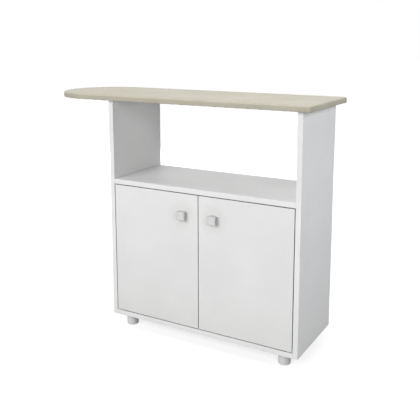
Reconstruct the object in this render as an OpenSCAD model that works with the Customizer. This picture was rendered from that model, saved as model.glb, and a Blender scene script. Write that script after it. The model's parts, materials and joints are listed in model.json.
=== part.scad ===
// Ironing board cabinet: a padded ironing top with a round nose on a two-door
// cabinet with an open niche. Millimetres, +Z up, front towards -Y, nose towards -X.
// The origin is under the middle of the whole piece, on the floor.

/* [Cabinet] */
// Width over both side panels
cabinet_w = 750; // [640:10:900]
// Depth of the side panels, front edge to back edge
cabinet_d = 305; // [270:5:380]
// Height of the side panels
side_h = 816; // [760:2:880]
// Thickness of the side panels
side_t = 18; // [15:1:22]
// Thickness of the bottom panel
bottom_t = 18; // [15:1:22]
// Thickness of the fixed shelf under the niche
shelf_t = 18; // [15:1:22]
// Clear height of the open niche
niche_h = 290; // [220:2:340]
// Thickness of the edge bands on board edges that show
band_t = 1; // [0.5:0.1:2]

/* [Ironing top] */
// Length of the ironing top, nose tip to right edge
top_l = 1075; // [960:5:1200]
// Top past the right side panel
top_over_right = 30; // [16:1:60]
// Top past the front edges
top_over_front = 18; // [16:1:30]
// Top past the back edges
top_over_back = 38; // [18:1:60]
// Corner radius at the right end of the top
top_corner_r = 15; // [12:1:60]
// Thickness of the top's board core
core_t = 12; // [12:1:18]
// Thickness of the foam pad
pad_t = 7; // [5:0.5:12]
// Thickness of the fabric cover
cover_t = 1; // [0.8:0.1:2]
// Radius that the padding rounds the upper edge with
pad_round_r = 6; // [4:0.5:8]
// Width of the cover's hem turned under the core
hem_w = 12; // [8:1:14]

/* [Doors] */
// Thickness of the doors
door_t = 18; // [16:1:20]
// Gap round and between the doors
door_gap = 3; // [2.5:0.1:4]
// Hinge pin centre behind the door's front face
pin_setback = 8; // [7:0.5:9]
// Hinge pin centre in from the door's hinge edge
pin_inset = 14; // [13:0.5:18]
// Angle that the left door stands open at
left_open = 0; // [0:1:120]
// Angle that the right door stands open at
right_open = 0; // [0:1:120]

/* [Hinge plates] */
// Diameter of the hinge pin
pin_d = 5; // [4:0.5:6]
// Radial running clearance of the pin
pin_clear = 0.05; // [0.02:0.01:0.1]
// Width of a hinge plate
leaf_w = 10; // [9:0.5:11]
// Length of a hinge plate
leaf_l = 52; // [46:1:70]
// Thickness of a hinge plate
leaf_t = 2.5; // [2:0.1:3]
// Outer diameter of the bush round the pin
bush_d = 8; // [7.5:0.1:9]
// Length of the bush in the door
bush_l = 10; // [8:1:16]

/* [Knobs] */
// Side of the square knob face
knob_side = 30; // [22:1:36]
// How far the knob stands off the door
knob_reach = 18; // [14:1:22]
// Side of the knob where it meets the door
knob_root = 27; // [20:1:32]
// Chamfer round the knob face
knob_chamfer = 1; // [0.4:0.1:2]
// Knob centre in from the doors' meeting edge
knob_from_edge = 60; // [35:1:90]
// Knob centre below the door's top edge
knob_from_top = 76; // [40:1:140]

/* [Feet] */
// Height of the feet
foot_h = 42; // [30:1:60]
// Diameter of the feet
foot_d = 43; // [34:1:50]
// Rounding at the foot's lower edge
foot_round_r = 3; // [1:0.5:5]
// Foot centre in from the side panel's outer face
foot_in_x = 61; // [45:1:90]
// Foot centre in from the front and back edges
foot_in_y = 38.5; // [30:0.5:60]

/* [Inside] */
// Thickness of the removable shelf
inner_shelf_t = 15; // [12:1:18]
// How far the removable shelf stands back from the front
inner_shelf_back = 34; // [30:1:60]
// Play of the removable shelf between its pins' collars, at each end
inner_shelf_play = 0.5; // [0.5:0.5:2]
// Gap between the removable shelf and the back panel
inner_shelf_rear = 6; // [2:1:12]
// Height of the removable shelf's underside over the bottom panel
inner_shelf_z = 232; // [150:1:320]
// Thickness of the back panel
back_t = 3; // [2.5:0.5:4]
// Back panel edge in from the cabinet's outer faces
back_margin = 4; // [2:1:8]

/* [Fittings] */
// Diameter of the dowels
dowel_d = 8; // [6:1:8]
// Length of the dowels
dowel_l = 30; // [24:1:34]
// Diameter of the cam locks
cam_d = 15; // [12:1:16]
// Cam lock centre in from the board's end
cam_in = 34; // [28:1:40]
// Cam row in from the front and back edges
cam_row = 50; // [40:1:70]
// Dowel row in from the front and back edges
dowel_row = 86; // [75:1:110]
// Diameter of the shelf pins
peg_d = 5; // [4:0.5:6]
// Clearance of fittings in their holes
fit = 0.1; // [0.05:0.05:0.2]

/* [Hidden] */
$fn = 64;
// How far cuts run past the face that they open
eps = 1;
door_h = side_h - bottom_t - niche_h - shelf_t - 2 * door_gap;
inner_w = cabinet_w - 2 * side_t;
door_w = (inner_w - 3 * door_gap) / 2;
shelf_z = bottom_t + door_h + 2 * door_gap;
niche_z = shelf_z + shelf_t;
top_d = top_over_front + cabinet_d + top_over_back;
top_over_left = top_l - cabinet_w - top_over_right;
nose_r = top_d / 2;
front_reach = max(top_over_front, knob_reach);
front_y = front_reach - (front_reach + cabinet_d + top_over_back) / 2;
cabinet_x = (top_over_left - top_over_right) / 2;
top_y = front_y - top_over_front + top_d / 2;
top_z = foot_h + side_h;
// Cover and pad outlines step in from the top's outline by these
pad_in = cover_t + fit;
core_in = pad_in + fit;
// Smallest corner radius where an outline steps in past the top's own corners
least_corner_r = 0.5;
// The padding's edge rounding, which leaves at least this much straight side under it
least_side = 0.5;
top_round = min(pad_round_r, pad_t + cover_t - least_side);
// Left door in the cabinet's frame: hinge edge, meeting edge and pin
door_x0 = -inner_w / 2 + door_gap;
door_z0 = bottom_t + door_gap;
pin_x = door_x0 + pin_inset;
knob_x = -door_gap / 2 - knob_from_edge;
knob_z = door_z0 + door_h - knob_from_top;
// Hinge plate screws: wood screws with a countersunk head
screw_d = 3.5;
screw_head_d = 6.8;
screw_head_h = 1.9;
screw_l = 16;
leaf_screws = [20, 38];
// Space left over the pin's end in its bush
pin_end_play = 1;
// Facets round the core's nose, and round the padding's nose, corners and edge rounding
nose_facets = 180;
nose_steps = 44;
corner_steps = 12;
round_steps = 4;
// Shelf pins and their holes
peg_l = 18;
peg_depth = 10;
peg_flange_d = 9;
peg_flange_t = 1.5;
peg_pitch = 32;
peg_rows = [-2, -1, 0, 1, 2];
peg_inset = 37;
peg_z = bottom_t + inner_shelf_z - peg_d / 2;
inner_shelf_d = cabinet_d - inner_shelf_back - inner_shelf_rear;
// Cam locks and their bolts
cam_over = 4;
cam_slot_l = 7.5;
cam_slot_w = 1.4;
cam_slot_deep = 1.5;
cam_cap_d = 17;
cam_cap_t = 0.6;
bolt_d = 5;
bolt_grip = 10;
bolt_shaft_d = 6;
bolt_head_d = 7;
bolt_head_l = 3;
// Foot screws
foot_screw_d = 4.5;
foot_screw_head_d = 9;
foot_screw_head_h = 3;
foot_web = 16;
foot_bore_d = 14;
foot_screw_up = 13;
// Knob screws
knob_screw_d = 4;
knob_screw_head_d = 8;
knob_screw_head_h = 2.4;
knob_screw_in = 11;
// Back panel nails
nail_d = 1.6;
nail_head_d = 4;
nail_head_t = 0.8;
nail_l = 20;
nail_edge = 24;
nails_up = 5;
nails_across = 6;
// Magnetic catch under the fixed shelf, and its strike plates on the doors
strike_w = 26;
strike_h = 12;
strike_t = 1.2;
strike_gap = 0.3;
strike_from_edge = 4;
strike_from_top = 2;
strike_x = -door_gap / 2 - strike_from_edge - strike_w / 2;
strike_z = door_z0 + door_h - strike_from_top - strike_h / 2;
magnet_w = 22;
magnet_h = 8;
magnet_depth = 9;
magnet_out = 1;
catch_w = 74;
catch_depth = 15;
catch_h = shelf_z - strike_z + strike_h / 2;
catch_y = door_t + strike_t + strike_gap + magnet_out;
catch_screw_grip = 11;
catch_screw_l = catch_h + catch_screw_grip;
catch_screw_in = 4;
// Cross boards between the sides: height of the underside, thickness
cross_boards = [[0, bottom_t], [shelf_z, shelf_t]];

// ---- Placing ----

// From the cabinet's own frame (middle, front edge, underside) to the whole piece's
module in_cabinet() {
    translate([cabinet_x, front_y, foot_h])
        children();
}

// Left-hand children as they are (side = 0) or mirrored to the right (side = 1)
module on_side(side) {
    mirror([side, 0, 0])
        children();
}

module both_sides() {
    for (side = [0, 1])
        on_side(side)
            children();
}

// A door swung open about its pins
module swung(side) {
    angle = side == 0 ? left_open : right_open;
    in_cabinet()
        on_side(side)
            translate([pin_x, pin_setback, 0])
                rotate([0, 0, -angle])
                    translate([-pin_x, -pin_setback, 0])
                        children();
}

// A cylinder along +X, and one along +Y
module rod_x(d, l) {
    rotate([0, 90, 0])
        cylinder(d = d, h = l);
}

module rod_y(d, l) {
    rotate([-90, 0, 0])
        cylinder(d = d, h = l);
}

// ---- Cams, bolts and dowels ----

// Rows from front to back on a board of the cabinet's depth
function pair(inset) = [inset, cabinet_d - inset];

// The left end of a board whose underside is at z
module at_left_end(z, rows) {
    for (y = rows)
        translate([-inner_w / 2, y, z])
            children();
}

// The left side panel's upper edge: +X runs down into the panel, z = 0 is its inner face
module at_side_top(rows) {
    for (y = rows)
        translate([-inner_w / 2, y, side_h])
            mirror([1, 0, 0])
                rotate([0, 90, 0])
                    children();
}

// A cam lock, its bolt and their hole, for a board of thickness t that ends at x = 0
module cam(t) {
    difference() {
        translate([cam_in, 0, 0])
            cylinder(d = cam_d, h = t / 2 + cam_over);
        translate([cam_in - cam_d / 2 - eps, 0, t / 2])
            rod_x(bolt_head_d + 2 * fit, cam_d / 2 + eps);
        translate([cam_in, 0, 0])
            for (turn = [0, 90])
                rotate([0, 0, turn])
                    cube([cam_slot_l, cam_slot_w, 2 * cam_slot_deep], center = true);
    }
}

module cam_bolt(t) {
    translate([-bolt_grip, 0, t / 2])
        rod_x(bolt_d, bolt_grip);
    translate([0, 0, t / 2])
        rod_x(bolt_shaft_d, cam_in);
    translate([cam_in - bolt_head_l, 0, t / 2])
        rod_x(bolt_head_d, bolt_head_l);
}

// Cut in the board that holds the cam
module cam_cut(t) {
    translate([cam_in, 0, -eps])
        cylinder(d = cam_d + 2 * fit, h = eps + t / 2 + cam_over);
    translate([-eps, 0, t / 2])
        rod_x(bolt_head_d + 2 * fit, cam_in - cam_d / 2 + 2 * eps);
}

// Cut in the board that the bolt screws into
module bolt_cut(t) {
    translate([-bolt_grip, 0, t / 2])
        rod_x(bolt_d + 2 * fit, bolt_grip + eps);
}

module dowel(t) {
    translate([-dowel_l / 3, 0, t / 2])
        rod_x(dowel_d, dowel_l);
}

module dowel_cut(t) {
    translate([-dowel_l / 3, 0, t / 2])
        rod_x(dowel_d + 2 * fit, dowel_l);
}

// ---- Hinge plates ----

// Plate lying in z 0 to leaf_t, pin centre at the origin, running to +X
module leaf_blank(grow = 0) {
    linear_extrude(leaf_t + grow) {
        circle(d = leaf_w);
        translate([0, -leaf_w / 2])
            square([leaf_l - leaf_w, leaf_w]);
        translate([leaf_l - leaf_w, 0])
            circle(d = leaf_w);
    }
}

// Countersunk screw pointing down, its head's top at z = 0
module wood_screw(l) {
    translate([0, 0, -screw_head_h])
        cylinder(d1 = screw_d, d2 = screw_head_d, h = screw_head_h);
    translate([0, 0, -l])
        cylinder(d = screw_d, h = l - screw_head_h / 2);
}

module leaf_screw_set(l = screw_l) {
    for (x = leaf_screws)
        translate([x, 0, leaf_t])
            wood_screw(l);
}

// Frame plate, shown lying with its pin up
module frame_plate() {
    difference() {
        leaf_blank();
        leaf_screw_set();
    }
    cylinder(d = pin_d, h = leaf_t + door_gap + leaf_t + bush_l - pin_end_play);
}

// Door plate, shown lying with its outer face up
module door_plate() {
    difference() {
        leaf_blank();
        leaf_screw_set();
        translate([0, 0, -eps])
            cylinder(d = pin_d + 2 * pin_clear + 2 * fit, h = leaf_t + 2 * eps);
    }
}

module door_bush() {
    translate([0, 0, -bush_l])
        difference() {
            cylinder(d = bush_d, h = bush_l);
            translate([0, 0, -eps])
                cylinder(d = pin_d + 2 * pin_clear, h = bush_l + 2 * eps);
        }
}

// Recess for a plate, open at its outer face, with the screw holes
module leaf_cut() {
    leaf_blank(eps);
    for (x = leaf_screws)
        translate([x, 0, -screw_l + leaf_t])
            cylinder(d = screw_d, h = screw_l);
}

module door_leaf_cut() {
    leaf_cut();
    translate([0, 0, -bush_l])
        cylinder(d = bush_d, h = bush_l + eps);
}

// Plates on the frame: upper ones hang from the fixed shelf, lower ones lie on the bottom
module at_lower_frame() {
    translate([pin_x, pin_setback, bottom_t - leaf_t])
        children();
}

module at_upper_frame() {
    translate([pin_x, pin_setback, shelf_z + leaf_t])
        mirror([0, 0, 1])
            children();
}

module at_lower_door() {
    translate([pin_x, pin_setback, door_z0 + leaf_t])
        mirror([0, 0, 1])
            children();
}

module at_upper_door() {
    translate([pin_x, pin_setback, door_z0 + door_h - leaf_t])
        children();
}

// ---- Carcass ----

// A side panel: fittings bored in its inner face and upper edge
module side_panel(side) {
    in_cabinet()
        on_side(side)
            difference() {
                translate([-cabinet_w / 2, band_t, 0])
                    cube([side_t, cabinet_d - band_t, side_h]);
                for (board = cross_boards) {
                    at_left_end(board[0], pair(cam_row))
                        bolt_cut(board[1]);
                    at_left_end(board[0], pair(dowel_row))
                        dowel_cut(board[1]);
                }
                at_side_top(pair(cam_row))
                    cam_cut(side_t);
                at_side_top(pair(dowel_row))
                    dowel_cut(side_t);
                at_pegs(peg_rows)
                    translate([-peg_depth, 0, 0])
                        rod_x(peg_d + 2 * fit, peg_depth + eps);
                side_nails(fit);
            }
}

// Shelf pin places on the left side panel's inner face
module at_pegs(rows) {
    for (y = [inner_shelf_back + peg_inset, inner_shelf_back + inner_shelf_d - peg_inset])
        for (row = rows)
            translate([-inner_w / 2, y, peg_z + row * peg_pitch])
                children();
}

module left_side_panel() {
    color("white")
        side_panel(0);
}

module right_side_panel() {
    color("white")
        side_panel(1);
}

// A board between the sides, with cams and dowels at its ends
module fixed_board(board) {
    difference() {
        translate([-inner_w / 2, band_t, board[0]])
            cube([inner_w, cabinet_d - band_t, board[1]]);
        both_sides() {
            at_left_end(board[0], pair(cam_row))
                cam_cut(board[1]);
            at_left_end(board[0], pair(dowel_row))
                dowel_cut(board[1]);
        }
    }
}

module bottom_panel() {
    color("white")
        in_cabinet()
            difference() {
                fixed_board(cross_boards[0]);
                both_sides()
                    at_lower_frame()
                        leaf_cut();
                at_feet()
                    cylinder(d = foot_screw_d, h = foot_screw_up);
                cross_nails(bottom_t / 2, fit);
            }
}

module fixed_shelf() {
    color("white")
        in_cabinet()
            difference() {
                fixed_board(cross_boards[1]);
                both_sides()
                    at_upper_frame()
                        leaf_cut();
                at_catch_screws()
                    cylinder(d = screw_d, h = catch_screw_grip);
                cross_nails(shelf_z + shelf_t / 2, fit);
            }
}

module inner_shelf() {
    w = inner_w - 2 * (peg_flange_t + inner_shelf_play);
    color("white")
        in_cabinet()
            translate([-w / 2, inner_shelf_back, bottom_t + inner_shelf_z])
                cube([w, inner_shelf_d, inner_shelf_t]);
}

module back_panel() {
    w = cabinet_w - 2 * back_margin;
    color("whitesmoke")
        in_cabinet()
            difference() {
                translate([-w / 2, cabinet_d, back_margin])
                    cube([w, back_t, niche_z - 2 * back_margin]);
                all_nails(fit);
            }
}

// Front edge bands of the side panels, bottom panel and fixed shelf
module carcass_edge_bands() {
    color("white")
        in_cabinet() {
            both_sides()
                translate([-cabinet_w / 2, 0, 0])
                    cube([side_t, band_t, side_h]);
            for (board = cross_boards)
                translate([fit - inner_w / 2, 0, board[0]])
                    cube([inner_w - 2 * fit, band_t, board[1]]);
        }
}

module shelf_pins() {
    color("silver")
        in_cabinet()
            both_sides()
                at_pegs([0]) {
                    translate([-peg_depth, 0, 0])
                        rod_x(peg_d, peg_l);
                    rod_x(peg_flange_d, peg_flange_t);
                }
}

// Dowels, cams and bolts: in the cross boards' ends, then in the side panels' upper edges
module dowels() {
    color("burlywood")
        in_cabinet()
            both_sides() {
                for (board = cross_boards)
                    at_left_end(board[0], pair(dowel_row))
                        dowel(board[1]);
                at_side_top(pair(dowel_row))
                    dowel(side_t);
            }
}

module cam_locks() {
    color("gray")
        in_cabinet()
            both_sides() {
                for (board = cross_boards)
                    at_left_end(board[0], pair(cam_row))
                        cam(board[1]);
                at_side_top(pair(cam_row))
                    cam(side_t);
            }
}

module cam_bolts() {
    color("silver")
        in_cabinet()
            both_sides() {
                for (board = cross_boards)
                    at_left_end(board[0], pair(cam_row))
                        cam_bolt(board[1]);
                at_side_top(pair(cam_row))
                    cam_bolt(side_t);
            }
}

// Flat caps over the cams that face the open niche
module cam_caps() {
    color("white")
        in_cabinet()
            both_sides()
                at_side_top(pair(cam_row))
                    translate([cam_in, 0, -cam_cap_t])
                        cylinder(d = cam_cap_d, h = cam_cap_t);
}

// Nails through the back panel into the back edges of the sides, bottom and shelf
module back_nail(grow) {
    rotate([90, 0, 0])
        cylinder(d = nail_d + grow, h = nail_l);
    rotate([90, 0, 0])
        cylinder(d = nail_head_d + grow, h = nail_head_t);
}

// The left side panel's nails
module side_nails(grow) {
    step = (shelf_z - bottom_t - 2 * nail_edge) / (nails_up - 1);
    for (i = [0:nails_up - 1])
        translate([-(cabinet_w - side_t) / 2, cabinet_d + back_t, bottom_t + nail_edge + i * step])
            back_nail(grow);
}

// Nails along a cross board's middle at height z
module cross_nails(z, grow) {
    step = (inner_w - 2 * nail_edge) / (nails_across - 1);
    for (i = [0:nails_across - 1])
        translate([-inner_w / 2 + nail_edge + i * step, cabinet_d + back_t, z])
            back_nail(grow);
}

module all_nails(grow) {
    both_sides()
        side_nails(grow);
    cross_nails(bottom_t / 2, grow);
    cross_nails(shelf_z + shelf_t / 2, grow);
}

module back_nails() {
    color("silver")
        in_cabinet()
            all_nails(0);
}

// ---- Feet ----

module at_feet() {
    for (x = [-1, 1])
        for (y = pair(foot_in_y))
            translate([x * (cabinet_w / 2 - foot_in_x), y, 0])
                children();
}

// Round foot hanging below z = 0, hollow below the web that its screw passes
module foot(x, y) {
    color("lightgray")
        in_cabinet()
            translate([x * (cabinet_w / 2 - foot_in_x), y, -foot_h])
                difference() {
                    rotate_extrude()
                        foot_profile();
                    translate([0, 0, -eps])
                        cylinder(d = foot_bore_d, h = foot_h - foot_web + eps);
                    cylinder(d = foot_screw_d + 2 * fit, h = foot_h + eps);
                }
}

module foot_profile() {
    r = foot_d / 2;
    square([r - foot_round_r, foot_h]);
    translate([0, foot_round_r])
        square([r, foot_h - foot_round_r]);
    intersection() {
        translate([r - foot_round_r, foot_round_r])
            circle(r = foot_round_r);
        square([r, foot_round_r]);
    }
}

module foot_front_left() {
    foot(-1, foot_in_y);
}

module foot_front_right() {
    foot(1, foot_in_y);
}

module foot_back_left() {
    foot(-1, cabinet_d - foot_in_y);
}

module foot_back_right() {
    foot(1, cabinet_d - foot_in_y);
}

module foot_screws() {
    color("silver")
        in_cabinet()
            at_feet() {
                translate([0, 0, -foot_web])
                    cylinder(d = foot_screw_d, h = foot_web + foot_screw_up);
                translate([0, 0, -foot_web - foot_screw_head_h])
                    cylinder(d = foot_screw_head_d, h = foot_screw_head_h);
            }
}

// ---- Ironing top ----

// The top's outline stepped in: round nose to the left, rounded corners to the right
module top_outline(inset) {
    translate([-top_l / 2 + nose_r, 0])
        circle(r = nose_r - inset, $fn = nose_facets);
    translate([-top_l / 2 + nose_r, -nose_r + inset])
        square([top_l - nose_r - top_corner_r, 2 * (nose_r - inset)]);
    translate([top_l / 2 - top_corner_r - eps, -nose_r + top_corner_r])
        square([top_corner_r + eps - inset, 2 * (nose_r - top_corner_r)]);
    for (y = [-1, 1])
        translate([top_l / 2 - top_corner_r, y * (nose_r - top_corner_r)])
            circle(r = top_corner_r - inset);
}

module top_core() {
    color("tan")
        difference() {
            translate([0, top_y, top_z])
                linear_extrude(core_t)
                    top_outline(core_in);
            in_cabinet()
                both_sides() {
                    at_side_top(pair(cam_row))
                        bolt_cut(side_t);
                    at_side_top(pair(dowel_row))
                        dowel_cut(side_t);
                }
        }
}

// Points on an arc about [cx, cy] from angle a0 to a1 in n steps
function arc(cx, cy, r, a0, a1, n) =
    [for (i = [0:n]) let (a = a0 + (a1 - a0) * i / n) [cx + r * cos(a), cy + r * sin(a)]];

// The top's outline stepped in, as points at height z, counterclockwise from the nose
function ring(inset, z) =
    let (nose = arc(nose_r - top_l / 2, 0, nose_r - inset, 90, 270, nose_steps),
        r = max(top_corner_r - inset, least_corner_r),
        x = top_l / 2 - inset - r,
        y = nose_r - inset - r,
        front = arc(x, -y, r, -90, 0, corner_steps),
        back = arc(x, y, r, 0, 90, corner_steps))
    [for (p = concat(nose, front, back)) [p[0], top_y + p[1], z]];

// Rings up a quarter round of radius r that ends r further in, at height z
function round_up(inset, z, r, n) =
    [for (i = [0:n]) let (a = 90 * i / n) ring(inset + r * (1 - cos(a)), z - r * (1 - sin(a)))];

function reversed(v) = [for (i = [len(v) - 1:-1:0]) v[i]];

// Solid skin through rings, with the first and the last ring filled in
module skin(rings) {
    n = len(rings[0]);
    m = len(rings);
    walls = [for (k = [0:m - 2]) for (i = [0:n - 1])
        let (a = k * n, b = a + n, j = (i + 1) % n)
            each [[a + i, b + i, b + j], [a + i, b + j, a + j]]];
    ends = [[for (i = [0:n - 1]) i], [for (i = [n - 1:-1:0]) (m - 1) * n + i]];
    polyhedron(points = [for (r = rings) each r], faces = concat(walls, ends), convexity = 4);
}

module top_pad() {
    foot_z = top_z + core_t;
    color("ivory")
        skin(concat([ring(pad_in, foot_z)],
            round_up(pad_in, foot_z + pad_t, top_round - cover_t - fit, round_steps)));
}

// Fabric cover: over the pad, down round the core's edge and under it as a hem
module top_cover() {
    face_z = top_z + core_t + pad_t;
    inner = concat([ring(hem_w, top_z), ring(cover_t, top_z)],
        round_up(cover_t, face_z, top_round - cover_t, round_steps));
    outer = concat([ring(hem_w, top_z - cover_t), ring(cover_t, top_z - cover_t), ring(0, top_z)],
        round_up(0, face_z + cover_t, top_round, round_steps));
    color("khaki")
        skin(concat(reversed(inner), outer));
}

// ---- Hinges on the frame ----

module left_upper_frame_plate() {
    color("silver")
        in_cabinet()
            at_upper_frame()
                frame_plate();
}

module left_lower_frame_plate() {
    color("silver")
        in_cabinet()
            at_lower_frame()
                frame_plate();
}

module right_upper_frame_plate() {
    color("silver")
        in_cabinet()
            on_side(1)
                at_upper_frame()
                    frame_plate();
}

module right_lower_frame_plate() {
    color("silver")
        in_cabinet()
            on_side(1)
                at_lower_frame()
                    frame_plate();
}

module frame_plate_screws() {
    color("silver")
        in_cabinet()
            both_sides() {
                at_upper_frame()
                    leaf_screw_set();
                at_lower_frame()
                    leaf_screw_set();
            }
}

// Washers that carry the doors on the lower frame plates
module hinge_washers() {
    color("white")
        in_cabinet()
            both_sides()
                at_lower_frame()
                    translate([0, 0, leaf_t])
                        difference() {
                            cylinder(d = leaf_w, h = door_gap);
                            translate([0, 0, -eps])
                                cylinder(d = pin_d + 2 * fit, h = door_gap + 2 * eps);
                        }
}

// ---- Magnetic catch ----

module at_catch_screws() {
    for (x = [-1, 1])
        translate([x * (catch_w / 2 - catch_screw_in), catch_y + catch_depth / 2, shelf_z])
            children();
}

// A magnet's block, grown for its pocket
module magnet(grow) {
    translate([strike_x - magnet_w / 2 - grow, catch_y - magnet_out, strike_z - magnet_h / 2 - grow])
        cube([magnet_w + 2 * grow, magnet_depth, magnet_h + 2 * grow]);
}

module catch_housing() {
    color("white")
        in_cabinet()
            difference() {
                translate([-catch_w / 2, catch_y, shelf_z - catch_h])
                    cube([catch_w, catch_depth, catch_h]);
                both_sides()
                    magnet(fit);
                at_catch_screws()
                    translate([0, 0, -catch_h])
                        mirror([0, 0, 1])
                            wood_screw(catch_screw_l);
            }
}

module catch_magnets() {
    color("dimgray")
        in_cabinet()
            both_sides()
                magnet(0);
}

module catch_screws() {
    color("silver")
        in_cabinet()
            at_catch_screws()
                translate([0, 0, -catch_h])
                    mirror([0, 0, 1])
                        wood_screw(catch_screw_l);
}

// ---- Doors ----

// The left door's full block, stepped in on its four edges
module door_block(inset) {
    translate([door_x0 + inset, 0, door_z0 + inset])
        cube([door_w - 2 * inset, door_t, door_h - 2 * inset]);
}

// Everything bored or cut in a door
module door_cuts() {
    at_upper_door()
        door_leaf_cut();
    at_lower_door()
        door_leaf_cut();
    translate([knob_x, -eps, knob_z])
        rod_y(knob_screw_d, door_t + 2 * eps);
    strike_screw();
}

module door_panel(side) {
    color("white")
        swung(side)
            difference() {
                door_block(band_t);
                door_cuts();
            }
}

module door_edge_band(side) {
    color("whitesmoke")
        swung(side)
            difference() {
                door_block(0);
                translate([door_x0 + band_t, -eps, door_z0 + band_t])
                    cube([door_w - 2 * band_t, door_t + 2 * eps, door_h - 2 * band_t]);
                door_cuts();
            }
}

// Countersunk screws in the door: hinge plates and strike plate
module door_screws(side) {
    color("silver")
        swung(side) {
            at_upper_door()
                leaf_screw_set();
            at_lower_door()
                leaf_screw_set();
            strike_screw();
        }
}

module strike_screw() {
    translate([strike_x, door_t + strike_t, strike_z])
        rotate([-90, 0, 0])
            wood_screw(screw_l);
}

module strike_plate(side) {
    color("silver")
        swung(side)
            difference() {
                translate([strike_x - strike_w / 2, door_t, strike_z - strike_h / 2])
                    cube([strike_w, strike_t, strike_h]);
                strike_screw();
            }
}

module door_bushes(side) {
    color("white")
        swung(side) {
            at_upper_door()
                door_bush();
            at_lower_door()
                door_bush();
        }
}

// Knob outline seen from above or from the side: root on the door, chamfered face
knob_profile = [
    [-knob_root / 2, 0],
    [-knob_side / 2, knob_chamfer - knob_reach],
    [knob_chamfer - knob_side / 2, -knob_reach],
    [knob_side / 2 - knob_chamfer, -knob_reach],
    [knob_side / 2, knob_chamfer - knob_reach],
    [knob_root / 2, 0]
];

module knob(side) {
    color("silver")
        swung(side)
            translate([knob_x, 0, knob_z])
                difference() {
                    intersection() {
                        linear_extrude(2 * knob_side, center = true)
                            polygon(knob_profile);
                        rotate([0, 90, 0])
                            linear_extrude(2 * knob_side, center = true)
                                polygon(knob_profile);
                    }
                    translate([0, -knob_screw_in, 0])
                        rod_y(knob_screw_d, knob_screw_in + eps);
                }
}

module knob_screw(side) {
    color("silver")
        swung(side)
            translate([knob_x, -knob_screw_in, knob_z]) {
                rod_y(knob_screw_d, knob_screw_in + door_t);
                translate([0, knob_screw_in + door_t, 0])
                    rod_y(knob_screw_head_d, knob_screw_head_h);
            }
}

module left_door_panel() {
    door_panel(0);
}

module left_door_edge_band() {
    door_edge_band(0);
}

module left_upper_door_plate() {
    color("silver")
        swung(0)
            at_upper_door()
                door_plate();
}

module left_lower_door_plate() {
    color("silver")
        swung(0)
            at_lower_door()
                door_plate();
}

module left_door_bushes() {
    door_bushes(0);
}

module left_door_screws() {
    door_screws(0);
}

module left_knob() {
    knob(0);
}

module left_knob_screw() {
    knob_screw(0);
}

module left_strike_plate() {
    strike_plate(0);
}

module right_door_panel() {
    door_panel(1);
}

module right_door_edge_band() {
    door_edge_band(1);
}

module right_upper_door_plate() {
    color("silver")
        swung(1)
            at_upper_door()
                door_plate();
}

module right_lower_door_plate() {
    color("silver")
        swung(1)
            at_lower_door()
                door_plate();
}

module right_door_bushes() {
    door_bushes(1);
}

module right_door_screws() {
    door_screws(1);
}

module right_knob() {
    knob(1);
}

module right_knob_screw() {
    knob_screw(1);
}

module right_strike_plate() {
    strike_plate(1);
}

left_side_panel();
right_side_panel();
bottom_panel();
fixed_shelf();
inner_shelf();
back_panel();
back_nails();
carcass_edge_bands();
shelf_pins();
dowels();
cam_locks();
cam_bolts();
cam_caps();
foot_front_left();
foot_front_right();
foot_back_left();
foot_back_right();
foot_screws();
top_core();
top_pad();
top_cover();
left_upper_frame_plate();
left_lower_frame_plate();
right_upper_frame_plate();
right_lower_frame_plate();
frame_plate_screws();
hinge_washers();
catch_housing();
catch_magnets();
catch_screws();
left_door_panel();
left_door_edge_band();
left_upper_door_plate();
left_lower_door_plate();
left_door_bushes();
left_door_screws();
left_knob();
left_knob_screw();
left_strike_plate();
right_door_panel();
right_door_edge_band();
right_upper_door_plate();
right_lower_door_plate();
right_door_bushes();
right_door_screws();
right_knob();
right_knob_screw();
right_strike_plate();
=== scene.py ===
import json
import math

import bmesh
import bpy
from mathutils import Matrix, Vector, kdtree, noise


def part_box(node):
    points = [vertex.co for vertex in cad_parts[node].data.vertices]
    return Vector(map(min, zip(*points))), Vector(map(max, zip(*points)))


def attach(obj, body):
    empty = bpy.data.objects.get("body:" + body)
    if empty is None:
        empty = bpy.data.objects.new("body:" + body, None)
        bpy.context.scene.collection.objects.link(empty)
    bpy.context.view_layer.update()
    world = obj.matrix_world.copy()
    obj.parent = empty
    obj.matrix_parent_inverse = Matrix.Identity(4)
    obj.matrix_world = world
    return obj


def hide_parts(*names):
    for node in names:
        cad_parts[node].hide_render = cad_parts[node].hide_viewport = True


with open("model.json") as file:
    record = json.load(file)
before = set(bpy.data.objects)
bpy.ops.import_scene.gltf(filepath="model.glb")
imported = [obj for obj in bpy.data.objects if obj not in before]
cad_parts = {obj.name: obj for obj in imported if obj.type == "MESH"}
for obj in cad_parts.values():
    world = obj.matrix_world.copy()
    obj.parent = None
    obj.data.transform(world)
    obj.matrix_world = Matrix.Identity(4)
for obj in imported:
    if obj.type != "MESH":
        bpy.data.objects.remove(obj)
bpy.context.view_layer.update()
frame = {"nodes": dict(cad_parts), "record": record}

# Nodes and patterns


def hexLinear(text):  # sRGB hex, as a colour picker gives it, to linear RGBA
    parts = [int(text[i:i + 2], 16) / 255 for i in (1, 3, 5)]
    return [c / 12.92 if c <= 0.04045 else ((c + 0.055) / 1.055) ** 2.4 for c in parts] + [1.0]


def firstOutput(source):  # a whole node stands for its first output
    return source.outputs[0] if isinstance(source, bpy.types.Node) else source


def addNode(tree, kind, settings=None, links=None, tones=()):  # tones: stops of a colour ramp
    node = tree.nodes.new(kind)
    for key, value in (settings or {}).items():
        if isinstance(key, str) and hasattr(node, key):
            setattr(node, key, value)
        else:
            node.inputs[key].default_value = value
    for key, source in (links or {}).items():
        tree.links.new(firstOutput(source), node.inputs[key])
    for i, (position, colour) in enumerate(tones):
        node.color_ramp.elements[i].position = position
        node.color_ramp.elements[i].color = hexLinear(colour)
    return node


def perMm(size):  # noise scale for features of that many millimetres, on coordinates in metres
    return 1000.0 / size


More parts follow.
